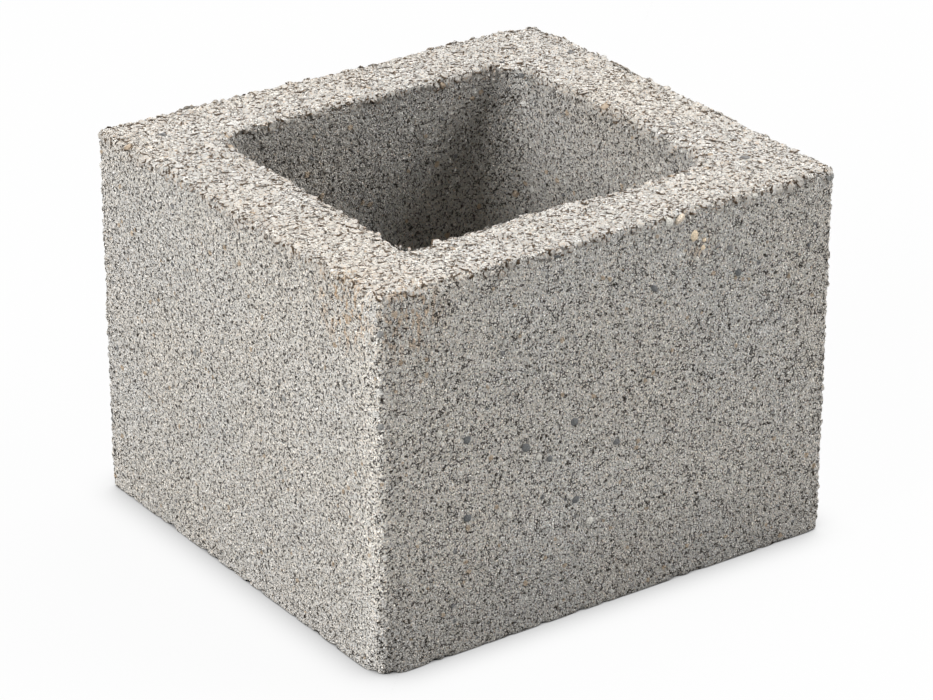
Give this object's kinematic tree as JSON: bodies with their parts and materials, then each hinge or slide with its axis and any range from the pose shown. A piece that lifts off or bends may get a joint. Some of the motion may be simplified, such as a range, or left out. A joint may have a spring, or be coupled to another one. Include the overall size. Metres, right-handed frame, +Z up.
{
  "type": "concrete block",
  "caption": "Hollow concrete block with a tapered, round-cornered core right through, an open-textured pressed top and crisp pallet-side edges.",
  "frame": {"origin": "centre of the bottom bed face, which stands on the floor", "axes": "+X along the longer side, +Y across the block, +Z up along the core from the pallet face to the pressed face"},
  "size_m": [0.194, 0.18, 0.143],
  "materials": {
    "concrete": "dry-cast, open texture, matt"
  },
  "bodies": {
    "root": {"block": "concrete"}
  },
  "joints": []
}
